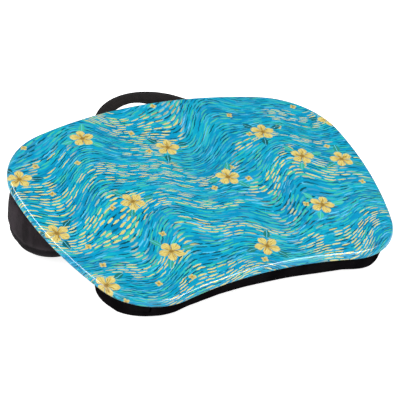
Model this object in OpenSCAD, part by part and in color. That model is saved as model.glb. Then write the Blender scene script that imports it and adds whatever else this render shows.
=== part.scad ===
// Cushioned lap desk: a film-covered board with a hollow front edge, on a pill-shaped
// rear bolster and a slimmer front bolster, with a flat sewn carry handle at the back.
// Everything is drawn in the board's own frame (underside at z = 0, middle of the depth
// at y = 0, back towards +Y) and then tilted onto the table by on_table().

/* [Board] */
// Width of the board at its widest line
board_w = 451; // [380:1:560]
// Depth of the board from its back edge to its front lobes
board_d = 342; // [290:1:420]
// Thickness of the board with its film
board_t = 8; // [6.5:0.5:12]
// Distance from the back edge to the widest line
widest_from_back = 120; // [112:0.5:135]
// Radius of the two back corners
back_corner_r = 100; // [80:1:106]
// Radius of the two long side edges
side_r = 490; // [400:5:900]
// Radius of the two front lobes
lobe_r = 71; // [50:1:85]
// Depth of the hollow in the front edge
waist_hollow = 14.5; // [8:0.5:25]
// Radius of the rounded top edge
edge_r = 5.8; // [3:0.1:6]
// Radius of the small lower edge
lower_edge_r = 0.6; // [0.3:0.1:0.8]
// Thickness of the printed film
film_t = 0.4; // [0.2:0.1:0.8]

/* [Stance] */
// Angle of the board to the table, back edge raised
tilt = 13.3; // [8:0.1:18]
// Distance from the board's underside to the table below the front lobes
front_lift = 24; // [15:0.5:28]
// Depth to which the table flattens each bolster
press = 0.5; // [0.2:0.1:1]

/* [Bolsters] */
// Thickness of the black cover cloth
cloth_t = 1.2; // [0.8:0.1:2]
// Distance from the board's edge to the edge of the base cloth
base_cloth_inset = 6; // [3:0.5:15]
// Distance from the board's back edge to the rear bolster
back_overhang = 28; // [24:0.5:60]
// Radius of the rear bolster's two back corners
rear_corner_r = 75; // [50:1:85]
// Radius of the rear bolster's two front corners
rear_front_corner_r = 45; // [25:1:60]
// Depth of the front bolster, from the front lobes back
front_bolster_d = 107.5; // [90:0.5:120]
// Width of the open valley between the bolsters
valley_w = 44; // [25:1:60]
// Distance from the board's front edge to the front bolster
front_bolster_inset = 7; // [3:0.5:14]
// Distance from the board's side edges to the front bolster
front_end_inset = 13; // [3:0.5:20]
// Radius of the front bolster's two front corners
front_lobe_r = 60; // [40:1:68]
// Share of the way to its middle over which the front bolster's lower edge is rounded
front_rounding = 0.17; // [0.12:0.01:0.5]
// Share of the way to its middle over which the rear bolster's lower edge is rounded
rear_rounding = 0.44; // [0.2:0.01:0.5]
// Distance from the board's side edges in to the rear bolster, negative where it bulges past
rear_end_inset = -2; // [-4:0.5:15]
// Radius of the front bolster's two rear corners
front_corner_r = 34; // [25:1:40]
// Distance that the bolster walls swell past their seams
wall_swell = 2; // [0.5:0.5:4]
// Distance behind its front wall at which the rear bolster leaves the table
rear_lift_off = 45; // [30:1:70]
// Distance from the front lobes at which the front bolster leaves the table
front_lift_off = 46; // [30:1:60]
// Share of the wall's height at which the lower seam runs
seam_share = 0.64; // [0.55:0.01:0.75]
// Distance from the middle to each upright seam of the front bolster
strip_seam_x = 147; // [100:1:150]
// Clearance between the filling and its cover
fill_gap = 0.25; // [0.1:0.05:0.5]

/* [Handle] */
// Width of the handle band
handle_w = 21.5; // [16:0.5:24]
// Thickness of the handle band
handle_t = 4; // [3:0.1:5]
// Outer radius of the handle's arch
handle_r = 81.5; // [70:0.5:90]
// Distance that the arch reaches past the board's back edge
handle_reach = 38; // [34:0.5:50]
// Distance of the arch's middle to the right of the board's middle, as sewn on
handle_shift = 2; // [-5:0.5:5]
// Thickness of the stiffener in the handle
core_t = 1.6; // [1:0.1:2]
// Clearance round the stiffener in its sleeve
core_gap = 0.2; // [0.1:0.05:0.4]
// Distance from the stiffener's edge to the sleeve's edge
core_margin = 4; // [3:0.5:5]
// Thickness of the flattened ends under the board
tab_t = 2; // [1.5:0.1:2.5]
// Length of the flattened ends in from the board's edge
tab_len = 26; // [20:1:34]
// Clearance between the board's edge and the raised handle
fold_clearance = 1; // [0.5:0.1:2]
// Clearance round the fold line
fold_gap = 0.3; // [0.2:0.05:0.5]

/* [Staples] */
// Width of a staple's crown
staple_w = 12; // [10:0.5:13]
// Length of a staple's legs
staple_leg = 7; // [5:0.5:7]
// Width of the staple wire
wire_w = 1.2; // [0.9:0.1:1.4]
// Thickness of the staple wire
wire_t = 0.6; // [0.5:0.05:0.8]
// Spacing of the staples along the valley
valley_pitch = 50; // [40:1:80]
// Number of staples in each valley row
valley_count = 7; // [3:2:7]
// Distance of a staple row from the bolster beside it
row_offset = 9; // [6:1:12]
// Distance of the back staple row from the board's edge
back_row_inset = 18; // [12:1:25]
// Angle between neighbours in the back staple row, along the back arc
back_row_step = 3.55; // [2:0.05:3.6]

/* [Hidden] */
film_blue = [0.05, 0.58, 0.80];
cloth_black = [0.09, 0.085, 0.09];
filling_white = [0.9, 0.9, 0.88];
board_brown = [0.55, 0.42, 0.28];
tiny = 0.01;

// Circles of the outline, each as a centre, found from tangency to its neighbours
half_w = board_w / 2;
half_d = board_d / 2;
widest_y = half_d - widest_from_back;
corner_c = [half_w - back_corner_r, widest_y];
back_r = (pow(widest_from_back, 2) + pow(corner_c.x, 2) - pow(back_corner_r, 2))
    / (2 * (widest_from_back - back_corner_r));
back_c = [0, half_d - back_r];
side_c = [half_w - side_r, widest_y];
// Centre of a circle of radius r inside the side arc, whose lowest point is at y
function low_circle(r, y) = [side_c.x + sqrt(pow(side_r - r, 2) - pow(y + r - widest_y, 2)), y + r];
lobe_c = low_circle(lobe_r, -half_d);
waist_r = (pow(waist_hollow, 2) + pow(lobe_c.x, 2)) / (2 * waist_hollow) - lobe_r;
waist_c = [0, waist_hollow - half_d - waist_r];

// Angles at which the arcs meet, clockwise from +Y
back_end = atan2(corner_c.x, corner_c.y - back_c.y);
side_end = 90 + asin((widest_y - lobe_c.y) / (side_r - lobe_r));
waist_end = asin(lobe_c.x / (lobe_r + waist_r));

// Points on an arc from angle a0 to a1, clockwise from +Y, in steps equal parts
function arc(c, r, a0, a1, steps) =
    [for (i = [0:steps]) let (a = a0 + (a1 - a0) * i / steps) c + r * [sin(a), cos(a)]];
// A list without its last or first entry
function but_last(list) = [for (i = [0:len(list) - 2]) list[i]];
function but_first(list) = [for (i = [1:len(list) - 1]) list[i]];
// Right half of the board's outline from back to front, moved inwards by inset
function half_outline(inset) = concat(
    but_last(arc(back_c, back_r - inset, 0, back_end, 10)),
    but_last(arc(corner_c, back_corner_r - inset, back_end, 90, 14)),
    but_last(arc(side_c, side_r - inset, 90, side_end, 10)),
    but_last(arc(lobe_c, lobe_r - inset, side_end, 180 + waist_end, 14)),
    arc(waist_c, waist_r + inset, waist_end, 0, 8));
// A closed outline, clockwise from above, from its right half
function mirrored(half) = concat(half,
    [for (i = [len(half) - 2:-1:1]) [-half[i].x, half[i].y]]);
function outline(inset) = mirrored(half_outline(inset));

// Stance: how far below the board's underside the table lies at y
drop_mid = front_lift + half_d * tan(tilt);
function table_drop(y) = drop_mid + y * tan(tilt);

// Rows of the underside from back to front
rear_back_y = half_d - back_overhang;
front_back_y = front_bolster_d - half_d;
rear_front_y = front_back_y + valley_w;
rear_ridge_y = 0.47 * rear_back_y + 0.53 * rear_front_y;
front_ridge_y = front_back_y - front_bolster_d / 2 + waist_hollow / 2;

// Both runs of a bolster's half outline, back to end and end to front, have run_steps steps
run_steps = 14;
function straight(a, b, steps) = [for (i = [0:steps]) a + (b - a) * i / steps];
// Where two circles about c and e cross, on the left of the line from c to e
function crossing(c, r, e, q) = let (
        way = e - c, d = norm(way), along = (d * d + r * r - q * q) / (2 * d),
        out = sqrt(r * r - along * along))
    c + along * way / d + out * [-way.y, way.x] / d;

// Rear bolster: inside the board's back and side edges, with a straight front wall
rear_side_r = side_r - rear_end_inset;
rear_corner_c = crossing(side_c, rear_side_r - rear_corner_r,
    back_c, back_r - back_overhang - rear_corner_r);
rear_back_end = atan2(rear_corner_c.x, rear_corner_c.y - back_c.y);
rear_corner_end = atan2(rear_corner_c.x - side_c.x, rear_corner_c.y - side_c.y);
rear_low_y = rear_front_y + rear_front_corner_r;
rear_low_end = 90 + asin((widest_y - rear_low_y) / (rear_side_r - rear_front_corner_r));
rear_low_c = side_c + (rear_side_r - rear_front_corner_r) * [sin(rear_low_end), cos(rear_low_end)];
function rear_half_outline(inset) = concat(
    but_last(arc(back_c, back_r - back_overhang - inset, 0, rear_back_end, 5)),
    but_last(arc(rear_corner_c, rear_corner_r - inset, rear_back_end, rear_corner_end, run_steps - 5)),
    but_last(arc(side_c, rear_side_r - inset, rear_corner_end, rear_low_end, 2)),
    but_last(arc(rear_low_c, rear_front_corner_r - inset, rear_low_end, 180, run_steps - 6)),
    straight([rear_low_c.x, rear_front_y + inset], [0, rear_front_y + inset], 4));

// Front bolster: a straight back wall, and a front wall that keeps to the board's edge
front_side_r = side_r - front_end_inset;
front_lobe_c = crossing(side_c, front_side_r - front_lobe_r,
    waist_c, waist_r + front_bolster_inset + front_lobe_r);
front_side_end = atan2(front_lobe_c.x - side_c.x, front_lobe_c.y - side_c.y);
front_waist_end = atan2(front_lobe_c.x - waist_c.x, front_lobe_c.y - waist_c.y);
front_low_y = front_back_y - front_corner_r;
front_corner_end = 90 + asin((widest_y - front_low_y) / (front_side_r - front_corner_r));
front_corner_c = side_c
    + (front_side_r - front_corner_r) * [sin(front_corner_end), cos(front_corner_end)];
function front_half_outline(inset) = let (y = front_back_y - inset) concat(
    but_last(straight([0, y], [front_corner_c.x, y], 5)),
    but_last(arc(front_corner_c, front_corner_r - inset, 0, front_corner_end, run_steps - 5)),
    but_last(arc(front_lobe_c, front_lobe_r - inset, front_side_end, 180 + front_waist_end, 9)),
    arc(waist_c, waist_r + front_bolster_inset + inset, front_waist_end, 0, run_steps - 9));

// A bolster is [is the rear one, half length and y of its ridge, free depth, rounding]
rear_bolster = [true, rear_corner_c.x - 10, rear_ridge_y,
    table_drop(rear_front_y + rear_lift_off), rear_rounding];
front_bolster = [false, front_corner_c.x - 4, front_ridge_y,
    table_drop(front_lift_off - half_d), front_rounding];
function bolster_half(b, inset) = b[0] ? rear_half_outline(inset) : front_half_outline(inset);

seam_in = 0.6 * wall_swell;
// Wall of a bolster as [distance past the outline, share of the depth], top to lower seam
wall = [[-wall_swell, 0], [-0.2 * wall_swell, 0.14], [0, 0.38], [-seam_in, seam_share]];
// Bottom of a bolster as [share of the way to the ridge, share of the depth]
function bottom(b) = concat(
    [for (a = [24, 48, 69, 90]) [b[4] * (1 - cos(a)), seam_share + (1 - seam_share) * sin(a)]],
    [[(1 + b[4]) / 2, 1], [1, 1]]);

// Points of the ridge that the outline closes to, the same for a front and back pair
function ridge(b) = let (half = bolster_half(b, 0), n = len(half) - 1)
    mirrored([for (k = [0:n]) [min((half[k].x + half[n - k].x) / 2, b[1]), b[2]]]);
// Depth below the underside at y: pressed flat where the table is nearer than the free depth
function depth(b, y) = min(table_drop(y) + press / cos(tilt), b[3]) - cloth_t;
// A ring moved in by inset mm and then by a share towards the ridge, skin mm inside the cover
function ring(b, inset, toward, share, skin) = let (
        flat = pow(share, 6), mid = ridge(b),
        start = mirrored(bolster_half(b, inset + skin * (1 - flat))))
    [for (k = [0:len(start) - 1]) let (p = start[k] * (1 - toward) + mid[k] * toward)
        [p.x, p.y, -cloth_t - share * depth(b, p.y) + skin * flat]];
function wall_rings(b, skin) = [for (w = wall) ring(b, -w[0], 0, w[1], skin)];
function bottom_rings(b, skin) = concat([ring(b, seam_in, 0, seam_share, skin)],
    [for (s = bottom(b)) ring(b, seam_in, s[0], s[1], skin)]);
function backwards(list) = [for (i = [len(list) - 1:-1:0]) list[i]];

// Triangles between rings i and j of n points each, leaving out those with no area
function band_faces(pts, n, i, j) = [
    for (k = [0:n - 1]) let (
            a = i * n + k, b = i * n + (k + 1) % n, c = j * n + (k + 1) % n, d = j * n + k)
        for (f = [[a, c, b], [a, d, c]])
            if (norm(cross(pts[f[1]] - pts[f[0]], pts[f[2]] - pts[f[0]])) > 1e-6) f];
// A closed solid through rings of equal length, from the top of its outside downwards;
// looped joins the last ring to the first, otherwise capped tells which ends get a flat
// face, and an end without one has closed to a line
module skin(rings, looped = false, capped = [true, true]) {
    n = len(rings[0]);
    m = len(rings);
    pts = [for (r = rings) each r];
    sides = [for (i = [0:looped ? m - 1 : m - 2]) each band_faces(pts, n, i, (i + 1) % m)];
    first = !looped && capped[0] ? [[for (k = [0:n - 1]) k]] : [];
    last = !looped && capped[1] ? [[for (k = [n - 1:-1:0]) (m - 1) * n + k]] : [];
    polyhedron(pts, concat(sides, first, last), convexity = 6);
}
// The same outline at several heights, each ring as [inset, z], lowest first
module stack(profile) { skin(outline_rings(backwards(profile))); }
function outline_rings(profile) = [for (p = profile) [for (q = outline(p[0])) [q.x, q.y, p[1]]]];

// Edge of the board as [inset, z] rings; skin mm inside the film's outer face
edge_z = board_t - edge_r;
function edge_profile(skin) = concat(
    [[lower_edge_r + skin, 0], [skin, lower_edge_r + skin]],
    [for (a = [0:15:90])
        [edge_r - (edge_r - skin) * cos(a), edge_z + (edge_r - skin) * sin(a)]]);

// Handle: an arch of a round band round handle_c, folding about the line fold_y, fold_z
handle_tip = half_d + handle_reach;
handle_c = [handle_shift, handle_tip - handle_r];
handle_mid_r = handle_r - handle_w / 2;
fold_y = half_d + fold_clearance + handle_t / 2;
fold_z = -cloth_t - handle_t / 2;
// Half distance between the middles of the two legs at y
function band_x(y) = sqrt(pow(handle_mid_r, 2) - pow(y - handle_c.y, 2));
// Half of the band's width measured along X at y
function band_half_x(y, w) = w / 2 * handle_mid_r / band_x(y);

// Stance of the whole desk, with the box of the desk centred over the origin
lift = drop_mid * cos(tilt);
front_reach = (half_d - edge_r) * cos(tilt) + edge_z * sin(tilt) + edge_r;
back_reach = (handle_tip - handle_t / 2) * cos(tilt) - fold_z * sin(tilt) + handle_t / 2;
module on_table() {
    translate([0, (front_reach - back_reach) / 2, lift]) rotate([tilt, 0, 0]) children();
}
// What is left of a cushion above the table, which flattens it
module pressed() {
    intersection() {
        on_table() children();
        translate([-board_w, -board_d, 0]) cube([2 * board_w, 2 * board_d, board_d]);
    }
}

// Board
module core_board() {
    color(board_brown) on_table() stack(edge_profile(film_t));
}
module print_film() {
    // One skin down the film's outer face and back up its inner face
    color(film_blue) on_table()
        skin(outline_rings(concat(backwards(edge_profile(0)), edge_profile(film_t))));
}

// Cover cloth and filling
module base_cloth() {
    color(cloth_black) on_table() translate([0, 0, -cloth_t])
        linear_extrude(cloth_t) polygon(outline(base_cloth_inset));
}
module gusset(b) {
    skin(concat(wall_rings(b, 0), backwards(wall_rings(b, cloth_t))), looped = true);
}
module bottom_panel(b) {
    skin(concat(backwards(bottom_rings(b, cloth_t)), bottom_rings(b, 0)), capped = [false, false]);
}
module filling(b) {
    inner = cloth_t + fill_gap;
    top = [for (p = wall_rings(b, inner)[0]) [p.x, p.y, -cloth_t - fill_gap]];
    skin(concat([top], but_first(wall_rings(b, inner)),
        but_first(bottom_rings(b, inner))), capped = [true, false]);
}
module rear_gusset() { color(cloth_black) on_table() gusset(rear_bolster); }
module rear_bottom_panel() { color(cloth_black) pressed() bottom_panel(rear_bolster); }
module rear_filling() { color(filling_white) on_table() filling(rear_bolster); }

// The front gusset is two strips, joined by upright seams at its lobes
module waist_side() {
    translate([-strip_seam_x, -board_d, -board_d])
        cube([2 * strip_seam_x, board_d + front_ridge_y, 2 * board_d]);
}
module front_gusset_waist() {
    color(cloth_black) on_table() intersection() { gusset(front_bolster); waist_side(); }
}
module front_gusset_wrap() {
    color(cloth_black) on_table() difference() { gusset(front_bolster); waist_side(); }
}
module front_bottom_panel() { color(cloth_black) pressed() bottom_panel(front_bolster); }
module front_filling() { color(filling_white) on_table() filling(front_bolster); }

// Handle band of width w and thickness t with round edges, swept round the arch
module band(w, t) {
    translate([handle_c.x, handle_c.y, 0]) rotate([0, 0, -5]) rotate_extrude(angle = 190, $fn = 96)
        translate([handle_mid_r, 0]) {
            square([w - t, t], center = true);
            for (side = [-1, 1]) translate([side * (w - t) / 2, 0]) circle(d = t, $fn = 24);
        }
}
// All that lies behind y, or before it
module behind(y) { translate([-board_w, y, -board_d]) cube([2 * board_w, board_d, 2 * board_d]); }
module before(y) { translate([-board_w, y - board_d, -board_d]) cube([2 * board_w, board_d, 2 * board_d]); }
// Round hem along the fold line at the root of each leg
module fold_hems(d) {
    half = band_half_x(fold_y, handle_w - handle_t);
    for (side = [-1, 1]) translate([handle_c.x + side * band_x(fold_y) - half, fold_y, fold_z])
        rotate([0, 90, 0]) cylinder(d = d, h = 2 * half, $fn = 32);
}
module handle_sleeve() {
    root_y = fold_y + handle_t / 2;
    color(cloth_black) on_table() difference() {
        union() {
            intersection() { translate([0, 0, fold_z]) band(handle_w, handle_t); behind(fold_y); }
            fold_hems(handle_t);
        }
        intersection() {
            translate([0, 0, fold_z]) band(handle_w - 2 * core_margin, core_t + 2 * core_gap);
            behind(root_y);
        }
    }
}
module handle_stiffener() {
    root_y = fold_y + handle_t / 2 + core_gap;
    core_half = handle_w / 2 - core_margin - core_t / 2 - core_gap;
    color(filling_white) on_table() intersection() {
        translate([handle_c.x, handle_c.y, fold_z - core_t / 2]) linear_extrude(core_t) difference() {
            circle(r = handle_mid_r + core_half, $fn = 96);
            circle(r = handle_mid_r - core_half, $fn = 96);
        }
        behind(root_y);
    }
}
module handle_ends() {
    end_y = fold_y - handle_t / 2 - fold_gap;
    color(cloth_black) on_table() intersection() {
        translate([0, 0, -cloth_t - tab_t / 2]) band(handle_w, tab_t);
        behind(half_d - tab_len);
        before(end_y);
    }
}

// A staple driven upwards, its crown's upper face at z = 0
module staple() {
    translate([-staple_w / 2, -wire_w / 2, -wire_t]) cube([staple_w, wire_w, wire_t]);
    for (side = [-1, 1]) translate([side * (staple_w - wire_t) / 2 - wire_t / 2, -wire_w / 2, -wire_t])
        cube([wire_t, wire_w, staple_leg + wire_t]);
}
module handle_staples() {
    rows = [half_d - 0.35 * tab_len, half_d - 0.75 * tab_len];
    color("silver") on_table() for (side = [-1, 1]) for (y = rows)
        translate([handle_c.x + side * band_x(y), y, -cloth_t - tab_t]) staple();
}
module cloth_staples() {
    last = (valley_count - 1) / 2;
    color("silver") on_table() translate([0, 0, -cloth_t]) {
        for (y = [rear_front_y - row_offset, front_back_y + row_offset])
            for (i = [-last:last]) translate([i * valley_pitch, y, 0]) staple();
        for (side = [-1, 1]) for (i = [3:5])
            translate([back_c.x, back_c.y, 0]) rotate([0, 0, side * i * back_row_step])
                translate([0, back_r - back_row_inset, 0]) staple();
    }
}

core_board();
print_film();
base_cloth();
rear_gusset();
rear_bottom_panel();
rear_filling();
front_gusset_waist();
front_gusset_wrap();
front_bottom_panel();
front_filling();
handle_sleeve();
handle_stiffener();
handle_ends();
handle_staples();
cloth_staples();
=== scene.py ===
import math
import bpy
import bmesh
import numpy as np
from mathutils import Matrix, Vector, noise
from mathutils.bvhtree import BVHTree


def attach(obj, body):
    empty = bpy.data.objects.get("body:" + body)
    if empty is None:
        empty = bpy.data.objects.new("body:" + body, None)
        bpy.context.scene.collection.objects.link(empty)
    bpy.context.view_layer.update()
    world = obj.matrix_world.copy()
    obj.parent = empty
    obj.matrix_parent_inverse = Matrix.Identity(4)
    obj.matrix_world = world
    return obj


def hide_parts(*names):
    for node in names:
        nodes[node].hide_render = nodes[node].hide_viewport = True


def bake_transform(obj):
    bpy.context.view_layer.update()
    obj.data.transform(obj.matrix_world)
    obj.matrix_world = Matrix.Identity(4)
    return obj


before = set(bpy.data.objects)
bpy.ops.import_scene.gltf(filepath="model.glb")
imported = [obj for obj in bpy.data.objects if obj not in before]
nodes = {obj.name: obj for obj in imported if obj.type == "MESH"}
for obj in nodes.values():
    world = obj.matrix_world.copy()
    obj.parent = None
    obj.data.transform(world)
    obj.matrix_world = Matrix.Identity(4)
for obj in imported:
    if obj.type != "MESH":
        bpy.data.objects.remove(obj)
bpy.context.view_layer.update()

scene = bpy.context.scene

# ---- where the board's own frame stands: underside at z = 0, middle of the depth at y = 0, back towards +Y
stance = {"tilt": 13.3, "shiftY": -18.55446, "lift": 62.69480, "frontLift": 24.0}
onTable = Matrix.Translation((0, stance["shiftY"] / 1000, stance["lift"] / 1000)) @ Matrix.Rotation(
    math.radians(stance["tilt"]), 4, "X")


# ---- camera, at the viewing angle of the picture
camera = {"azimuth": 34.621, "elevation": 38.185, "roll": 11.262, "away": 1.64837,
          "aim": (-0.02050, -0.02661, 0.008), "lens": 125.8}


def makeCamera(c):
    az, el, roll = (math.radians(c[k]) for k in ("azimuth", "elevation", "roll"))
    ahead = Vector((math.sin(az) * math.cos(el), math.cos(az) * math.cos(el), -math.sin(el)))
    right = Vector((math.cos(az), -math.sin(az), 0))
    up = right.cross(ahead)
    across = math.cos(roll) * right + math.sin(roll) * up
    upward = math.cos(roll) * up - math.sin(roll) * right
    at = Vector(c["aim"]) - ahead * c["away"]
    local = Matrix((across, upward, -ahead)).transposed().to_4x4()
    data = bpy.data.cameras.new("camera")
    data.lens, data.sensor_width = c["lens"], 36
    data.clip_start, data.clip_end = 0.05, 30
    made = bpy.data.objects.new("camera", data)
    made.matrix_world = onTable @ Matrix.Translation(at) @ local
    scene.collection.objects.link(made)
    scene.camera = made


makeCamera(camera)
print("camera placed")


# ---- shader sums: one class wraps a socket
class Ink:
    def __init__(self, tree, socket):
        self.tree, self.socket = tree, socket

    def make(self, kind, settings=None, sockets=None, out=0):  # any node: its type, settings and sockets
        node = self.tree.nodes.new(kind)
        for name, value in (settings or {}).items():
            if name == "stops":
                while len(node.color_ramp.elements) < len(value):
                    node.color_ramp.elements.new(1)
                for stop, (place, colour) in zip(node.color_ramp.elements, value):
                    stop.position, stop.color = place, (*colour, 1)
            else:
                setattr(node, name, value)
        for name, value in (sockets or {}).items():
            socket = node.inputs[name]
            if isinstance(value, Ink):
                self.tree.links.new(value.socket, socket)
            else:
                socket.default_value = value
        return Ink(self.tree, node.outputs[out])

    def math(self, operation, *others):
        return self.make("ShaderNodeMath", {"operation": operation}, dict(enumerate((self,) + others)))

    def __add__(self, other):
        return self.math("ADD", other)

    def __sub__(self, other):
        return self.math("SUBTRACT", other)

    def __mul__(self, other):
        return self.math("MULTIPLY", other)

    def __truediv__(self, other):
        return self.math("DIVIDE", other)

    __radd__, __rmul__ = __add__, __mul__

    def __rsub__(self, other):
        return self.make("ShaderNodeMath", {"operation": "SUBTRACT"}, {0: other, 1: self})

    def __rtruediv__(self, other):
        return self.make("ShaderNodeMath", {"operation": "DIVIDE"}, {0: other, 1: self})

    def __abs__(self):
        return self.math("ABSOLUTE")

    def __pow__(self, other):
        return self.math("POWER", other)

    def vector(self, operation, other=None, out=0):
        sockets = {0: self} if other is None else {0: self, 1: other}
        return self.make("ShaderNodeVectorMath", {"operation": operation}, sockets, out)

    def joined(self, x, y, z=0.0):
        return self.make("ShaderNodeCombineXYZ", {}, {"X": x, "Y": y, "Z": z})

    def part(self, name):
        return self.make("ShaderNodeSeparateXYZ", {}, {0: self}, name)

    def step(self, low, high, fromValue=0.0, toValue=1.0):  # smooth change between two values
        return self.make("ShaderNodeMapRange", {"interpolation_type": "SMOOTHSTEP"},
                         {"Value": self, "From Min": low, "From Max": high, "To Min": fromValue, "To Max": toValue})

    def over(self, under, colour):  # paints colour on under where self is 1
        colour = colour if isinstance(colour, Ink) else (*colour, 1)
        under = under if isinstance(under, Ink) else (*under, 1)
        node = self.tree.nodes.new("ShaderNodeMix")
        node.data_type = "RGBA"
        for slot, value in ((0, self), (6, under), (7, colour)):
            if isinstance(value, Ink):
                self.tree.links.new(value.socket, node.inputs[slot])
            else:
                node.inputs[slot].default_value = value
        return Ink(self.tree, node.outputs[2])

    def ramp(self, *stops):  # pairs of place and screen colour
        return self.make("ShaderNodeValToRGB", {"stops": [(place, linear(code)) for place, code in stops]}, {0: self})

    def cloud(self, scale, detail=2.0, flat=False, out="Fac", rough=0.5):
        return self.make("ShaderNodeTexNoise", {"noise_dimensions": "2D" if flat else "3D"},
                         {"Vector": self, "Scale": scale, "Detail": detail, "Roughness": rough}, out)

    def cells(self, scale, spread, flat=True, out="Distance"):
        return self.make("ShaderNodeTexVoronoi", {"voronoi_dimensions": "2D" if flat else "3D"},
                         {"Vector": self, "Scale": scale, "Randomness": spread}, out)

    def clamped(self):
        return self.math("MAXIMUM", 0.0).math("MINIMUM", 1.0)


class Finish:  # a material with its shader, its place in mm and the piece's own values
    def __init__(self, name, values):
        self.material = bpy.data.materials.new(name)
        self.material.use_nodes = True
        self.tree = self.material.node_tree
        self.shader = self.tree.nodes["Principled BSDF"]
        for socket, value in values.items():
            self.shader.inputs[socket].default_value = value
        start = Ink(self.tree, None)
        back = (math.radians(stance["tilt"]), 0, 0)
        self.place = start.make("ShaderNodeMapping", {"vector_type": "TEXTURE"}, {
            "Vector": start.make("ShaderNodeTexCoord", out="Object"), "Location": onTable.translation,
            "Rotation": back, "Scale": (0.001, 0.001, 0.001)})  # mm in the board's frame
        self.facing = start.make("ShaderNodeMapping", {"vector_type": "TEXTURE"}, {
            "Vector": start.make("ShaderNodeTexCoord", out="Normal"), "Rotation": back})  # the normal there

    def feed(self, socket, ink):
        self.tree.links.new(ink.socket, self.shader.inputs[socket])

    def bump(self, height, strength, distance):
        made = height.make("ShaderNodeBump", {}, {"Height": height, "Strength": strength, "Distance": distance})
        self.feed("Normal", made)


def linear(code):  # a screen colour as linear light
    parts = [int(code[i:i + 2], 16) / 255 for i in (0, 2, 4)]
    return tuple(c / 12.92 if c <= 0.04045 else ((c + 0.055) / 1.055) ** 2.4 for c in parts)


# ---- printed film: rows of short brush dashes along low waves, with loose five-petal flowers and small buds
printLook = {
    "ground": "0086b0", "deep": "0079a2", "turquoise": "089cb0", "light": "58b2d8", "mint": "3bab90",
    "teal": "024551", "pale": "cbc27e", "straw": "beb369", "gold": "b59c4c", "amber": "84682e", "petal": "c2ae62",
    "flowerGap": 104.0, "flowerSize": 15.5, "budGap": 46.0, "budSize": 4.6,
    "waves": ((20, 0.030, 0.009, 0.7), (6, 0.071, -0.021, 2.1)),  # height in mm, rates along X and Y, start
    "bend": (12, 0.024, 1.3), "drift": 60, "wobble": 2.4, "wrap": 0.8,
    "roughness": 0.34, "gloss": 0.1, "coatRoughness": 0.08, "coatIor": 1.7, "flatCoat": 0.08, "rimCoat": 0.6,
}
halfTurn, thirdTurn, fullTurn = 3.1416, 2.0944, 6.283
dashCoats = (  # row width, dash length, share of places filled, share of the row's width, shift, three shades
    (5.0, 23, 0.60, 0.62, 0.37, ("turquoise", "deep", "turquoise")),
    (4.4, 18, 0.40, 0.42, 2.63, ("light", "turquoise", "light")),
    (4.2, 16, 0.68, 0.42, 7.91, ("teal", "teal", "deep")),
    (4.6, 16, 0.42, 0.46, 5.17, ("mint", "mint", "turquoise")),
)
yellowDashes = (4.5, 13.5, 0.62, 0.45, 11.3)  # the same five numbers


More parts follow.
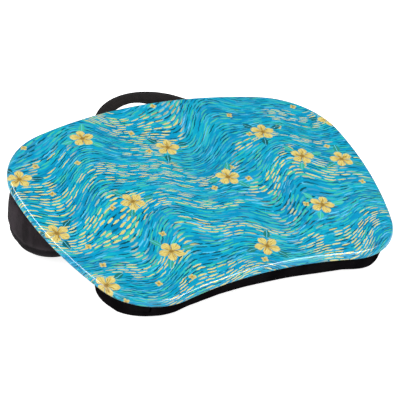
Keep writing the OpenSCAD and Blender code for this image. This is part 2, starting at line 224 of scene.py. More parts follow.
def filmFinish(v):
    f = Finish("printedFilm", {"Roughness": v["roughness"], "Coat Roughness": v["coatRoughness"],
                               "Coat IOR": v["coatIor"], "Specular IOR Level": v["gloss"]})
    at = f.place
    height = at.part("Z")
    fallen = (8 - height).math("MAXIMUM", 0.0) * v["wrap"]  # the print runs on down the rim
    at = at.vector("ADD", f.facing.vector("MULTIPLY", at.joined(fallen, fallen)))
    wobble = at.cloud(0.16, 2, True, "Color").vector("SUBTRACT", (0.5, 0.5, 0.5))
    at = at.vector("ADD", wobble.vector("MULTIPLY", (v["wobble"], v["wobble"], 0)))
    x, y = at.part("X"), at.part("Y")
    bend, bendRate, bendStart = v["bend"]
    along = x + bend * (y * bendRate + bendStart).math("SINE")
    wave = y
    for tall, rateX, rateY, waveStart in v["waves"]:
        wave = wave + tall * (x * rateX + y * rateY + waveStart).math("SINE")
    wave = wave + (at.cloud(0.006, 0, True) - 0.5) * v["drift"]

    def dashes(width, length, share, breadth, shift):  # tapered dashes in rows along the waves: mask, random value
        rows = wave / width + shift * 3.7
        row = rows.math("FLOOR")
        lane = row.make("ShaderNodeTexWhiteNoise", {"noise_dimensions": "1D"}, {"W": row + shift}, "Value")
        places = along / length + lane * 9.7
        place = places.math("FLOOR")
        spot = at.joined(place, row, shift)
        chance = spot.make("ShaderNodeTexWhiteNoise", {"noise_dimensions": "3D"}, {"Vector": spot}, "Color")
        offset = abs(rows.math("FRACT") - (chance.part("Z") * 0.16 + 0.42)) * 2
        taper = ((places.math("FRACT") * 1.12 - 0.06).clamped() * halfTurn).math("SINE") ** 0.42
        mask = (taper * breadth - offset).step(-0.05, 0.12)
        return mask * chance.part("X").step(1 - share, 1 - share + 0.01), chance.part("Y")

    colour = at.joined(along * 0.3, wave).cloud(0.06, 2, True).ramp(
        (0.3, v["deep"]), (0.5, v["ground"]), (0.75, v["turquoise"]))
    for *sizes, shades in dashCoats:
        mask, tone = dashes(*sizes)
        colour = mask.over(colour, tone.ramp((0.0, v[shades[0]]), (0.5, v[shades[1]]), (1.0, v[shades[2]])))
    mask, tone = dashes(*yellowDashes)
    bands = at.joined(along * 0.6, wave * 1.6).cloud(0.012, 1, True).step(0.46, 0.55, 0.06, 1.0)
    colour = (mask * bands).over(colour, tone.ramp((0.0, v["pale"]), (1.0, v["straw"])))

    def blossoms(colour, gap, size, petals, shift, share, leafy):  # loose flowers, one or none to a cell
        grid = at.vector("MULTIPLY", (1 / gap, 1 / gap, 0)).vector("ADD", (shift, shift * 1.7, 0))
        chance = grid.cells(1.0, 0.62, True, "Color")
        offset = grid.vector("SUBTRACT", grid.cells(1.0, 0.62, True, "Position"))
        east, north = offset.part("X") * gap, offset.part("Y") * gap
        reach = (east * east + north * north).math("SQRT")
        turn = north.math("ARCTAN2", east) + chance.part("Z") * fullTurn
        there = chance.part("X").step(1 - share, 1 - share + 0.01)
        ragged = at.joined(turn * 6, reach * 0.07).cloud(1.0, 1, True) - 0.5
        if leafy:  # three leaves between the petals
            third = abs((turn / thirdTurn).math("FRACT") - 0.5) * thirdTurn
            blade = ((reach - size * 0.8) / (size * 1.15)).clamped()
            breadth = (blade * halfTurn).math("SINE") * (size * 0.27)
            leaf = (breadth - third * reach + ragged * 1.6).step(-0.2, 0.9) * there
            rib = (third * reach).step(0.5, 0.2)
            leafTone = chance.part("Y").ramp((0.0, v["teal"]), (1.0, v["mint"]))
            colour = leaf.over(colour, rib.over(leafTone, linear(v["light"])))
        lobe = abs((turn * (petals / 2)).math("COSINE")) ** 0.7
        outer = lobe * (size * 0.48) + size * 0.52 + ragged * (size * 0.16)
        petal = (outer - reach).step(-0.4, 0.9) * there
        grain = at.joined(turn * 7, reach * 0.09).cloud(1.0, 1, True)
        petalTone = (reach / size * 0.8 + (grain - 0.5) * 1.9).ramp(
            (0.0, v["amber"]), (0.25, v["gold"]), (0.5, v["petal"]), (0.78, v["pale"]), (1.0, v["gold"]))
        colour = petal.over(colour, petalTone)
        vein = abs((turn * (petals / 2)).math("COSINE")).step(0.24, 0.1) * (reach / size).step(0.2, 0.35)
        colour = (vein * petal * 0.85).over(colour, linear(v["ground"]))
        eye = (reach / size + ragged * 0.2).step(0.2, 0.15) * there
        return eye.over(colour, linear(v["amber"]))

    colour = blossoms(colour, v["budGap"], v["budSize"], 4, 0.37, 0.4, False)
    colour = blossoms(colour, v["flowerGap"], v["flowerSize"], 5, 0.21, 1.0, True)
    rimGloss = height.step(7.98, 7.7, v["flatCoat"], v["rimCoat"])
    f.feed("Coat Weight", rimGloss * height.step(3.0, 6.2, 0.1, 1.0))
    # painted shade: the print is mixed towards teal on the lowest part of the rim and on the turned-under margin
    paintedRimShade = height.step(1.8, 0.2) * 0.6
    f.feed("Base Color", paintedRimShade.over(colour, linear(v["teal"])))
    ripple = f.place.cloud(0.35, 2)
    f.feed("Roughness", ripple.step(0.3, 0.7, v["roughness"] - 0.04, v["roughness"] + 0.06))
    f.bump(f.place.cloud(0.9, 1) * 0.4 + ripple, 0.05, 0.0006)
    return f.material


# ---- black cover cloth: a napped knit with a fine cross rib
clothLook = {"dark": "0b090a", "light": "302a2e", "rib": 1.1, "nap": 2.6, "sheen": 0.02, "gloss": 0.06,
             "paintedShadeKeeps": 0.35, "paintedShadeSpanZ": (-34, -58)}  # painted shade towards the bottom: share of its colour that the low side keeps, from z to z


def clothFinish(v, name, ribScale=1.0):
    f = Finish(name, {"Roughness": 0.93, "Sheen Weight": v["sheen"], "Sheen Roughness": 0.5,
                      "Sheen Tint": (0.9, 0.8, 0.86, 1), "Specular IOR Level": v["gloss"]})
    at = f.place
    drift = at.vector("MULTIPLY", (1.0, 1.0, 0.35)).cloud(0.045, 4, rough=0.6)  # soft upright mottling
    fibre = at.cloud(v["nap"], 2)
    rows = at.cells(v["rib"] * ribScale, 0.35, False)
    tone = drift.step(0.32, 0.68) * 0.5 + fibre * 0.35 + rows * 0.2
    # painted shade: below these heights the cloth's colour is mixed towards black, standing in for shade near the
    # floor
    low = at.part("Z").step(*v["paintedShadeSpanZ"], 0.0, 1 - v["paintedShadeKeeps"])
    f.feed("Base Color", low.over(tone.ramp((0.15, v["dark"]), (0.95, v["light"])), linear("000000")))
    f.feed("Roughness", fibre.step(0.3, 0.7, 0.86, 0.98))
    f.bump(rows * 0.5 + fibre * 0.8, 0.55, 0.0005)
    return f.material


webbingLook = {"dark": "060505", "light": "1d1817", "nap": 2.6, "twill": 5.2, "sheen": 0.08, "gloss": 0.15}


def webbingFinish(v):
    f = Finish("handleCloth", {"Roughness": 0.9, "Sheen Weight": v["sheen"], "Sheen Roughness": 0.4,
                               "Specular IOR Level": v["gloss"]})
    at = f.place
    grain = at.vector("MULTIPLY", (1.0, 0.45, 1.0)).cloud(0.16, 4)
    fibre = at.cloud(v["nap"], 2)
    twill = ((at.part("X") + at.part("Y")) * v["twill"]).math("SINE") * 0.5 + 0.5
    f.feed("Base Color", (grain * 0.75 + fibre * 0.2 + twill * 0.08).ramp((0.3, v["dark"]), (0.75, v["light"])))
    f.feed("Roughness", grain.step(0.3, 0.7, 0.82, 0.95))
    f.bump(twill * 0.4 + fibre * 0.6 + grain, 0.5, 0.0004)
    return f.material


def boardFinish():
    f = Finish("fibreboard", {"Roughness": 0.85})
    grain = f.place.cloud(0.9, 4)
    f.feed("Base Color", grain.ramp((0.3, "7a5a3a"), (0.7, "a88660")))
    f.bump(grain, 0.3, 0.0004)
    return f.material


def stiffenerFinish():
    f = Finish("stiffenerSheet", {"Roughness": 0.5})
    grain = f.place.cloud(0.4, 2)
    f.feed("Base Color", grain.ramp((0.3, "cfcfc9"), (0.7, "dedcd6")))
    f.feed("Roughness", grain.step(0.3, 0.7, 0.42, 0.6))
    return f.material


def stapleFinish():
    f = Finish("stapleWire", {"Metallic": 1.0, "Roughness": 0.3})
    scuff = f.place.cloud(1.6, 3)
    f.feed("Base Color", scuff.ramp((0.3, "a9a8a4"), (0.7, "cfcecb")))
    f.feed("Roughness", scuff.step(0.3, 0.7, 0.22, 0.42))
    f.bump(scuff, 0.15, 0.0002)
    return f.material


dullCloth = {**clothLook, "sheen": 0.0, "gloss": 0.0}
cover, webbing = clothFinish(clothLook, "coverCloth"), webbingFinish(webbingLook)
# the front cushion's cover: the same cloth in darker colours, which is painted shade, and without sheen or gloss
shadedFrontCover = clothFinish({**dullCloth, "dark": "070607", "light": "121012", "paintedShadeKeeps": 0.8}, "frontCoverShadedCloth")
# the bottom panels: the same cloth in darker colours, which is painted shade
shadedBottomCover = clothFinish({**clothLook, "dark": "060506", "light": "1b181b", "paintedShadeKeeps": 0.6}, "bottomPanelShadedCloth")
seamCloth = clothFinish({**dullCloth, "dark": "000000", "light": "010101"}, "seamCloth")
thread = clothFinish({**clothLook, "light": "2c292a"}, "sewingThread", 3.0)
print("materials made")


# ---- mesh helpers, all in mm in the board's frame
def makePiece(name, points, faces, material):
    mesh = bpy.data.meshes.new(name)
    mesh.from_pydata([Vector(p) / 1000 for p in points], [], faces)
    mesh.validate()
    mesh.materials.append(material)
    made = bpy.data.objects.new(name, mesh)
    scene.collection.objects.link(made)
    for face in mesh.polygons:
        face.use_smooth = True
    return made


def stand(made, body, *stoodFor):  # from the board's frame onto the table, riding on a body
    made.data.transform(onTable)
    if stoodFor:
        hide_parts(*stoodFor)
    if body:
        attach(made, body)


def tidyNormals(made, merge=0.0):
    work = bmesh.new()
    work.from_mesh(made.data)
    if merge:
        bmesh.ops.remove_doubles(work, verts=work.verts, dist=merge / 1000)
    bmesh.ops.recalc_face_normals(work, faces=work.faces)
    work.to_mesh(made.data)
    work.free()


def skinOf(rings, capped=False):
    n, m = len(rings[0]), len(rings)
    faces = [(i * n + k, (i + 1) * n + k, (i + 1) * n + (k + 1) % n, i * n + (k + 1) % n)
             for i in range(m - 1) for k in range(n)]
    if capped:
        faces += [tuple(range(n)), tuple((m - 1) * n + k for k in range(n - 1, -1, -1))]
    return [p for ring in rings for p in ring], faces


def arc(c, r, a0, a1, steps):
    a = np.radians(np.linspace(a0, a1, steps + 1))
    return np.stack([c[0] + r * np.sin(a), c[1] + r * np.cos(a)], 1)


def mirrored(half):
    return np.concatenate([half, half[-2:0:-1] * (-1, 1)])


# ---- board: outline of tangent arcs
board = {"halfW": 225.5, "halfD": 171.0, "thick": 8.0, "edge": 5.8, "lowerEdge": 0.6, "film": 0.4, "widestY": 51.0,
         "cornerR": 100.0, "sideR": 490.0, "lobeR": 71.0, "hollow": 14.5}
cornerC = np.array([board["halfW"] - board["cornerR"], board["widestY"]])
backR = ((board["halfD"] - board["widestY"]) ** 2 + cornerC[0] ** 2 - board["cornerR"] ** 2) / (
    2 * (board["halfD"] - board["widestY"] - board["cornerR"]))
backC = np.array([0, board["halfD"] - backR])
sideC = np.array([board["halfW"] - board["sideR"], board["widestY"]])
lobeY = board["lobeR"] - board["halfD"]
lobeReach = math.sqrt((board["sideR"] - board["lobeR"]) ** 2 - (lobeY - board["widestY"]) ** 2)
lobeC = np.array([sideC[0] + lobeReach, lobeY])
waistR = (board["hollow"] ** 2 + lobeC[0] ** 2) / (2 * board["hollow"]) - board["lobeR"]
waistC = np.array([0, board["hollow"] - board["halfD"] - waistR])
backEnd = math.degrees(math.atan2(cornerC[0], cornerC[1] - backC[1]))
sideEnd = 90 + math.degrees(math.asin((board["widestY"] - lobeC[1]) / (board["sideR"] - board["lobeR"])))
waistEnd = math.degrees(math.asin(lobeC[0] / (board["lobeR"] + waistR)))


def outline(inset, steps=(34, 30, 34, 26, 26)):
    b = board
    return mirrored(np.concatenate([
        arc(backC, backR - inset, 0, backEnd, steps[0])[:-1],
        arc(cornerC, b["cornerR"] - inset, backEnd, 90, steps[1])[:-1],
        arc(sideC, b["sideR"] - inset, 90, sideEnd, steps[2])[:-1],
        arc(lobeC, b["lobeR"] - inset, sideEnd, 180 + waistEnd, steps[3])[:-1],
        arc(waistC, waistR + inset, waistEnd, 0, steps[4])]))


def level(ring, z):
    return [(x, y, z) for x, y in ring]


def makeFilm():
    edge, top, film, lower = (board[k] for k in ("edge", "thick", "film", "lowerEdge"))

    def turned(radius, angles):  # pairs of inset and height round the upper rim
        return [(edge - radius * math.cos(a), top - edge + radius * math.sin(a)) for a in np.radians(angles)]

    profile = [(edge + 16, top), (edge + 5, top), (edge + 1.2, top)] + turned(edge, np.arange(90, -1, -7.5))
    profile += [(0, lower + 0.5), (0.02, lower + 0.1), (0.2, 0.22), (0.55, 0.04), (1.0, 0.0), (5.5, -0.02)]
    profile += [(5.5, 0.02), (1.0, 0.02), (0.7, 0.1), (film + 0.02, lower + 0.2)]
    profile += turned(edge - film, np.arange(0, 91, 15)) + [(edge + 5, top - film), (edge + 16, top - film)]
    rings = [level(outline(i), z) for i, z in profile]
    points, faces = skinOf(rings, capped=True)
    made = makePiece("filmCover", points, faces, filmFinish(printLook))
    tidyNormals(made)
    stand(made, "desk", "print_film")


makeFilm()
print("film made")


# ---- bolsters: the same runs of arcs as the cushions' patterns, then blown up as cloth
drop = math.tan(math.radians(stance["tilt"]))
bolsterPlan = {"cloth": 1.2, "press": 0.5, "seamShare": 0.64, "run": 46, "folded": 1.2,
               "topInset": 2.0, "topRings": (1.0, 0.7, 0.4, 0.15, 0.04), "wallRings": 9}
rearPlan = {"side": 492.0, "corner": 75.0, "lowCorner": 45.0, "overhang": 28.0, "frontY": -19.5}
frontPlan = {"side": 477.0, "lobe": 55.0, "corner": 34.0, "edge": 7.0, "backY": -63.5}
tableMid = stance["frontLift"] + board["halfD"] * drop


def crossing(c, r, e, q):
    way = np.array(e) - np.array(c)
    d = math.hypot(*way)
    near = (d * d + r * r - q * q) / (2 * d)
    out = math.sqrt(r * r - near * near)
    return np.array(c) + near * way / d + out * np.array([-way[1], way[0]]) / d


def bearing(c, e):
    return math.degrees(math.atan2(c[0] - e[0], c[1] - e[1]))


def rearHalf(inset, run):
    side, corner, low, overhang, frontY = rearPlan.values()
    c1 = crossing(sideC, side - corner, backC, backR - overhang - corner)
    a1, a2 = bearing(c1, backC), bearing(c1, sideC)
    lowY = frontY + low
    a3 = 90 + math.degrees(math.asin((board["widestY"] - lowY) / (side - low)))
    c2 = sideC + (side - low) * np.array([math.sin(math.radians(a3)), math.cos(math.radians(a3))])
    first, second, third = round(run * 0.55), round(run * 0.12), round(run * 0.36)
    last = run - second - third + 1
    return np.concatenate([
        arc(backC, backR - overhang - inset, 0, a1, first)[:-1],
        arc(c1, corner - inset, a1, a2, run - first)[:-1],
        arc(sideC, side - inset, a2, a3, second)[:-1],
        arc(c2, low - inset, a3, 180, third)[:-1],
        np.stack([np.linspace(c2[0], 0, last), np.full(last, frontY + inset)], 1)])


def frontHalf(inset, run):
    side, lobe, corner, edge, backY = frontPlan.values()
    c1 = crossing(sideC, side - lobe, waistC, waistR + edge + lobe)
    a1, a2 = bearing(c1, sideC), math.degrees(math.atan2(c1[0] - waistC[0], c1[1] - waistC[1]))
    lowY = backY - corner
    a3 = 90 + math.degrees(math.asin((board["widestY"] - lowY) / (side - corner)))
    c2 = sideC + (side - corner) * np.array([math.sin(math.radians(a3)), math.cos(math.radians(a3))])
    first, second = round(run * 0.6), round(run * 0.5)
    return np.concatenate([
        np.stack([np.linspace(0, c2[0], first + 1), np.full(first + 1, backY - inset)], 1)[:-1],
        arc(c2, corner - inset, 0, a3, run - first)[:-1],
        arc(c1, lobe - inset, a1, 180 + a2, second)[:-1],
        arc(waistC, waistR + edge + inset, a2, 0, run - second)])


footLine = (  # where the stuffing sets the foot of the front wall: at x, this much further from the user
    (-95.0, 0.0), (-50.0, 2.2), (0.0, 0.6), (40.0, -0.8), (80.0, -2.2), (108.0, -2.3), (120.0, -3.4),
    (131.0, -4.8), (141.0, -5.0), (150.0, -3.2), (165.0, 0.0))
# ridge: where the bottom's middle line ends and lies; round and sag: how far and how slackly the low side turns
# in; set: where the cushion was sewn; risen: where slack cloth lets the lower seam ride up, its reach and lift
rearBolster = {
    "name": "rearCushion", "half": rearHalf, "ridgeX": 156.0, "ridgeY": 56.9, "freeAt": 25.5, "round": 0.44,
    "sag": 0.82, "set": (-1.2, -0.2), "risen": ((-190.0, 10.0), 32.0, 0.46), "foot": ((0.0, 0.0),),
    "cloth": (cover, shadedBottomCover), "groove": 0.0030, "slack": 0.0013, "puff": 1.5, "seed": 3.0,
    "nodes": ("rear_gusset", "rear_bottom_panel", "rear_filling")}
frontBolster = {
    "name": "frontCushion", "half": frontHalf, "ridgeX": 190.0, "ridgeY": -110.0, "freeAt": -125.0, "round": 0.17,
    "sag": 1.0, "set": (3.6, 0.0), "risen": ((0.0, 0.0), 1.0, 0.0), "foot": footLine,
    "cloth": (shadedFrontCover, shadedFrontCover), "groove": 0.0010, "slack": 0.0005, "puff": 1.2, "seed": 9.0,
    "nodes": ("front_gusset_waist", "front_gusset_wrap", "front_bottom_panel", "front_filling")}


def bolsterRings(b):  # rings from the middle of the top, down the wall and in to the middle of the bottom
    plan = bolsterPlan
    half = b["half"](0, plan["run"])
    ridge = mirrored(np.array([[min((p[0] + q[0]) / 2, b["ridgeX"]), b["ridgeY"]] for p, q in zip(half, half[::-1])]))

    def depth(y):
        return np.minimum(tableMid + y * drop + plan["press"] / math.cos(math.radians(stance["tilt"])),
                          tableMid + b["freeAt"] * drop) - plan["cloth"]

    def ring(inset, toward, share):
        edge = mirrored(b["half"](inset, plan["run"])) + b["set"]
        push = np.interp(edge[:, 0], *zip(*b["foot"])) * (0.4 + 0.6 * share)
        edge[:, 1] += push * np.clip((-100 - edge[:, 1]) / 30, 0, 1)
        middle, reach, lift = b["risen"]
        share = share - lift * share * (1 - share) * np.exp(-np.sum((edge - middle) ** 2, 1) / reach ** 2)
        start = edge * (1 - toward) + ridge * toward
        return np.column_stack([start, -plan["cloth"] - share * depth(start[:, 1])])

    seam, folded, turn = plan["seamShare"], plan["folded"], b["round"]
    shares = np.linspace(0, seam, plan["wallRings"])
    swell = np.interp(shares, [0, 0.07, 0.14, 0.26, 0.38, 0.51, 0.64], [2.0, 0.95, 0.4, 0.05, 0.0, 0.35, 1.2])
    rings = [ring(plan["topInset"], t, 0) for t in plan["topRings"]]
    rings += [ring(i, 0, s) for i, s in zip(swell, shares)]
    for a in np.radians((14, 28, 42, 56, 70, 82, 90)):
        rings.append(ring(folded, turn * (1 - math.cos(a)) ** b["sag"], seam + (1 - seam) * math.sin(a)))
    rings += [ring(folded, t, 1) for t in np.linspace(turn, 1, 7)[1:]]
    topSeam = len(plan["topRings"])
    return rings, topSeam, topSeam + plan["wallRings"] - 1


blowing = {"pressure": 4, "quality": 6, "mass": 0.25, "stretch": 12, "shear": 6, "bending": 0.4, "frames": 20}


def blowUp(made, pinned, cap):  # a short cloth simulation under pressure, applied, with its movement capped in mm
    rest = np.array([v.co for v in made.data.vertices])
    group = made.vertex_groups.new(name="sewn")
    group.add(pinned, 1.0, "REPLACE")
    bpy.context.view_layer.objects.active = made
    cloth = made.modifiers.new("cloth", "CLOTH")
    s, b = cloth.settings, blowing
    s.use_pressure, s.uniform_pressure_force = True, b["pressure"]
    s.vertex_group_mass = "sewn"
    s.quality, s.mass = b["quality"], b["mass"]
    s.tension_stiffness = s.compression_stiffness = b["stretch"]
    s.shear_stiffness, s.bending_stiffness = b["shear"], b["bending"]
    s.effector_weights.gravity = 0
    cloth.point_cache.frame_start, cloth.point_cache.frame_end = 1, b["frames"]
    for frameNumber in range(1, b["frames"] + 1):
        scene.frame_set(frameNumber)
    depsgraph = bpy.context.evaluated_depsgraph_get()
    moved = np.array([v.co for v in made.evaluated_get(depsgraph).data.vertices])
    made.modifiers.remove(cloth)
    scene.frame_set(1)
    way = moved - rest
    far = np.linalg.norm(way, axis=1, keepdims=True)
    way = way * np.minimum(1, cap / 1000 / np.maximum(far, 1e-9))
    print(made.name, "cloth moved up to", round(float(far.max()) * 1000, 1), "mm")
    return rest + way


def settle(co, top, clear=0.0002):  # keeps a cushion under the base cloth and on the table, in metres
    co[:, 2] = np.minimum(co[:, 2], top)
    upward = np.array(onTable.to_3x3()[2])
    height = co @ upward + onTable.translation.z
    co += np.outer(np.maximum(clear - height, 0), upward)
    return co


def makeCushion(b):
    rings, topSeam, lowSeam = bolsterRings(b)
    points, faces = skinOf(rings)
    made = makePiece(b["name"], points, faces, b["cloth"][0])
    made.data.materials.append(b["cloth"][1])
    marks = made.data.attributes.new("ringNumber", "FLOAT", "POINT")
    marks.data.foreach_set("value", np.repeat(np.arange(len(rings)), len(rings[0])).astype(np.float32))
    tidyNormals(made, 0.02)
    row = np.zeros(len(made.data.vertices), np.float32)
    made.data.attributes["ringNumber"].data.foreach_get("value", row)
    co = np.array([v.co for v in made.data.vertices])
    normals = np.array([v.normal for v in made.data.vertices])
    onSeam = np.abs(row - lowSeam) < 0.1
    co = blowUp(made, [i for i in range(len(co)) if row[i] <= topSeam + 0.1 or onSeam[i]], b["puff"])
    # slack folds that the cloth keeps: upright ones below the top seam, smaller ones beside the lower seam
    for i, p in enumerate(co):
        if row[i] <= topSeam + 0.1:
            continue
        swellNoise = noise.noise(Vector((p[0] * 22, p[1] * 22, b["seed"])))
        fold = noise.noise(Vector((p[0] * 75, p[1] * 75, p[2] * 12 + b["seed"])))
        near = math.exp(-((row[i] - lowSeam) / 2.2) ** 2)
        onWall = min(1, (row[i] - topSeam) / 3)
        pucker = 0 if onSeam[i] else b["groove"] * 0.8 * fold * near
        co[i] += normals[i] * (b["slack"] * swellNoise * onWall + pucker)
        if onSeam[i]:
            co[i] -= normals[i] * b["groove"]
    co = settle(co, -bolsterPlan["cloth"] / 1000 - 0.0001)
    for v, p in zip(made.data.vertices, co):
        v.co = p
    for face in made.data.polygons:  # the bottom panel takes the darker copy of the cover cloth, its darkness painted shade
        face.material_index = int(min(row[i] for i in face.vertices) > lowSeam - 0.1)
    fine = made.modifiers.new("fine", "SUBSURF")
    fine.levels = fine.render_levels = 1
    stand(made, "desk", *b["nodes"])
    return made


makeCushion(rearBolster)
frontCushion = makeCushion(frontBolster)
print("cushions made")


# ---- upright seams where the front cushion's waist strip meets the strip round its ends
stripSeam = {"x": 147.0, "top": -2.2, "low": -17.5, "rows": 15, "before": -230, "behind": 1.2,
             "across": (-1.1, -0.5, 0.0, 0.5, 1.1), "rise": (-0.3, 0.5, 0.4, 0.175, -0.3)}


def makeStripSeams(v, cushion):
    bpy.context.view_layer.update()
    tree = BVHTree.FromObject(cushion, bpy.context.evaluated_depsgraph_get())
    turn, back = onTable.to_3x3(), onTable.inverted()
    inward = Vector((0, v["behind"], 0))
    points, faces = [], []
    for x in (-v["x"], v["x"]):
        rings = []
        for z in np.linspace(v["top"], v["low"], v["rows"]):
            found = [tree.ray_cast(onTable @ (Vector((x + d, v["before"], z)) / 1000), turn @ Vector((0, 1, 0)))
                     for d in v["across"]]
            if all(hit[0] for hit in found):
                row = [(back @ hit[0]) * 1000 + (turn.inverted() @ hit[1]).normalized() * rise
                       for hit, rise in zip(found, v["rise"])]
                rings.append([tuple(p) for p in row + [row[-1] + inward, row[0] + inward]])
        strip, skin = skinOf(rings, capped=True)
        faces += [tuple(len(points) + k for k in face) for face in skin]
        points += strip
    seams = makePiece("frontCushionSeams", points, faces, seamCloth)
    tidyNormals(seams)
    stand(seams, "desk")


makeStripSeams(stripSeam, frontCushion)
print("upright seams made")


# ---- base cloth, stapled flat under the board
baseCloth = {"inset": 6.0, "thick": 1.1, "pucker": 0.25}


def makeBaseCloth(v):
    insets = [v["inset"] + d for d in (0.0, 0.4, 3, 8, 16, 28, 44)]
    lower = [[(x, y, -v["thick"] - v["pucker"] * (0.5 + 0.5 * noise.noise(Vector((x * 0.05, y * 0.05, 2))))
               * (i > v["inset"] + 1)) for x, y in outline(i)] for i in insets[1:]]
    rings = [level(outline(i), -0.36) for i in (40, v["inset"] + 0.5)]
    rings += [level(outline(v["inset"]), z) for z in (-0.5, -v["thick"] + 0.15)] + lower
    points, faces = skinOf(rings, capped=True)
    made = makePiece("baseCloth", points, faces, cover)
    tidyNormals(made)
    stand(made, "desk", "base_cloth")


makeBaseCloth(baseCloth)
print("base cloth made")


# ---- handle: one sewn sleeve, flat where it is stapled and puffy along its arch
handle = {"centre": (2.0, 127.5), "radius": 70.75, "width": 21.5, "thick": 4.0, "tabThick": 2.0, "length": 187,
          "foldY": 174.0, "foldZ": -3.2, "endY": 145.0, "clear": 0.02, "steps": 150,
          "stitchIn": 2.6, "stitchGap": 3.3, "stitchHalf": 0.36, "thread": 0.28, "hiddenAbove": -1.9,
          "widths": ((10, 62, 72, 80, 85, 90, 95, 100, 112, 125, 170),  # degrees round the arch, mm there
                     (21.5, 25, 27, 26.4, 24.2, 22.2, 20.8, 19.8, 19, 18.4, 19))}
underCloth = -bolsterPlan["cloth"] - handle["clear"]


def handleFrame(t):  # at share t of the band: its middle, way outward, half width, half thickness and height
    h = handle
    a0 = math.asin((h["endY"] - h["centre"][1]) / h["radius"])
    a = a0 + (math.pi - 2 * a0) * t
    out = Vector((math.cos(a), math.sin(a), 0))
    mid = out * h["radius"] + Vector((*h["centre"], 0))
    rise = min(1, max(0, (mid.y - h["foldY"] + 6) / 7))
    rise = rise * rise * (3 - 2 * rise)
    thick = h["tabThick"] + (h["thick"] - h["tabThick"]) * rise
    outer = h["radius"] + h["width"] / 2
    width = np.interp(math.degrees(a), *h["widths"])  # the cloth is drawn narrow on one leg and slack on the other
    return mid + out * (outer - width / 2 - h["radius"]), out, width / 2, thick / 2, underCloth - thick / 2


def bandHeight(u, full):  # half thickness at u, from -1 to 1 across the band
    return full * float(np.interp(
        abs(u), [0, 0.3, 0.55, 0.66, 0.74, 0.82, 0.92, 0.98, 1], [1, 0.99, 0.9, 0.72, 0.5, 0.6, 0.52, 0.33, 0]))


def makeHandle(h):
    across = [0, 0.15, 0.3, 0.45, 0.55, 0.62, 0.68, 0.74, 0.79, 0.85, 0.92, 0.97, 1]
    loop = [(u, 1) for u in across] + [(u, -1) for u in across[-2::-1]]
    loop = loop + [(-u, s) for u, s in loop[-2:0:-1]]
    rings = []
    for i in range(h["steps"] + 1):
        mid, out, half, full, z = handleFrame(i / h["steps"])
        along = i / h["steps"] * h["length"]
        ring = []
        for u, s in loop:
            crumple = 1 + 0.11 * noise.noise(Vector((along * 0.16, u * 1.3 + 3, s)))
            crumple += 0.05 * noise.noise(Vector((along * 0.5, u * 2, s + 5)))
            edge = 1 + 0.012 * noise.noise(Vector((along * 0.09, u > 0, 7)))
            p = mid + out * (u * half * min(edge, 1.0))
            ring.append((p.x, p.y, min(z + s * bandHeight(u, full) * min(crumple, 1.06), underCloth)))
        rings.append(ring)
    points, faces = skinOf(rings, capped=True)
    sleeve = makePiece("handleSleeve", points, faces, webbing)
    tidyNormals(sleeve)
    stand(sleeve, None, "handle_sleeve", "handle_ends")
    stitches, sides = [], []
    count = int(h["length"] / h["stitchGap"])
    for row in (-1, 1):
        for face in (1, -1):
            for k in range(2, count - 1):
                ends = []
                for d in (-h["stitchHalf"], h["stitchHalf"]):
                    mid, out, half, full, z = handleFrame((k + 0.5 + d) / count)
                    u = row * (1 - h["stitchIn"] / half)
                    p = mid + out * (u * half)
                    ends.append(Vector((p.x, p.y, z + face * (bandHeight(u, full) + h["clear"]))))
                if face < 0 or ends[0].z <= h["hiddenAbove"]:
                    addStitch(stitches, sides, *ends, Vector((0, 0, face)), h["thread"])
    seams = makePiece("handleStitching", stitches, sides, thread)
    tidyNormals(seams)
    stand(seams, None)
    for made in (sleeve, seams):
        along = onTable.to_3x3() @ Vector((0, 0.003, 0))
        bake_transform(made)


def addStitch(points, faces, a, b, up, r):  # a short sewn thread, round in section and pulled in at its ends
    way = (b - a).normalized()
    side = way.cross(up).normalized()
    rings = []
    stations = ((0.0, 0.15, -0.9), (0.18, 0.85, -0.1), (0.5, 1.0, 0.2), (0.82, 0.85, -0.1), (1.0, 0.15, -0.9))
    for t, fat, rise in stations:
        mid = a.lerp(b, t) + up * (rise * r)
        angles = (q * math.pi / 3 for q in range(6))
        rings.append([tuple(mid + (side * math.cos(angle) + up * math.sin(angle)) * r * fat) for angle in angles])
    made, skin = skinOf(rings, capped=True)
    faces += [tuple(len(points) + k for k in face) for face in skin]
    points += made


makeHandle(handle)
print("handle made")


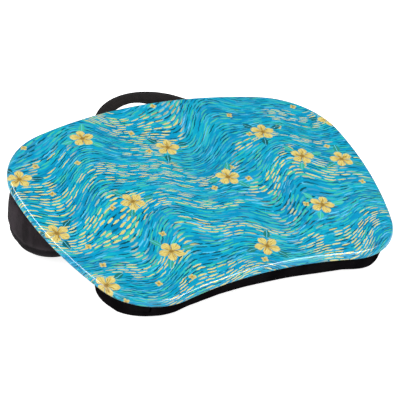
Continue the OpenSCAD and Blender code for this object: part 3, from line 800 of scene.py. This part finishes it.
# ---- pieces kept from the frame take their finishes
metal = stapleFinish()
framePieces = {"core_board": boardFinish(), "handle_stiffener": stiffenerFinish(), "handle_staples": metal,
               "cloth_staples": metal}
for nodeName, finish in framePieces.items():
    nodes[nodeName].data.materials.clear()
    nodes[nodeName].data.materials.append(finish)
print("frame pieces finished")


# ---- studio: pale floor, soft world, two strips and two soft boxes
studio = {"world": 0.16, "floorGlow": 0.86, "floorHalf": 6, "floorZ": -0.0005}
softBoxes = (  # direction from the middle of the desk, distance, width, depth, power
    ("frontStrip", (0.45, -0.33, 0.83), 1.6, 1.3, 0.35, 17.0),
    ("leftStrip", (-0.56, 0.32, 0.72), 1.6, 1.3, 0.30, 15.0),
    ("leftBox", (-0.85, -0.25, 0.55), 2.0, 1.4, 1.0, 14.0),
    ("frontBox", (0.1, -0.9, 0.55), 2.0, 1.6, 1.0, 14.0),
)


def makeStudio():
    w = studio["floorHalf"]
    points = [(-w, -w, 0), (w, -w, 0), (w, w, 0), (-w, w, 0)]
    f = Finish("studioFloor", {"Roughness": 0.95, "Specular IOR Level": 0.1, "Emission Color": (1, 1, 1, 1),
                               "Emission Strength": studio["floorGlow"]})
    f.feed("Base Color", f.place.cloud(0.01, 2).ramp((0.0, "dcdcdc"), (1.0, "dfdfdf")))
    mesh = bpy.data.meshes.new("floor")
    mesh.from_pydata(points, [], [(0, 1, 2, 3)])
    mesh.materials.append(f.material)
    floor = bpy.data.objects.new("floor", mesh)
    floor.location.z = studio["floorZ"]
    scene.collection.objects.link(floor)
    world = bpy.data.worlds.new("studio")
    world.use_nodes = True
    sky = world.node_tree.nodes["Background"]
    sky.inputs["Color"].default_value = (1, 1, 1, 1)
    sky.inputs["Strength"].default_value = studio["world"]
    scene.world = world
    for name, way, away, wide, deep, power in softBoxes:
        lamp = bpy.data.lights.new(name, "AREA")
        lamp.shape, lamp.size, lamp.size_y, lamp.energy = "RECTANGLE", wide, deep, power
        made = bpy.data.objects.new(name, lamp)
        made.location = Vector(way).normalized() * away
        made.rotation_mode = "QUATERNION"
        made.rotation_quaternion = Vector(way).to_track_quat("Z", "Y")
        scene.collection.objects.link(made)


makeStudio()
scene.view_settings.view_transform = "Standard"
print("studio made")
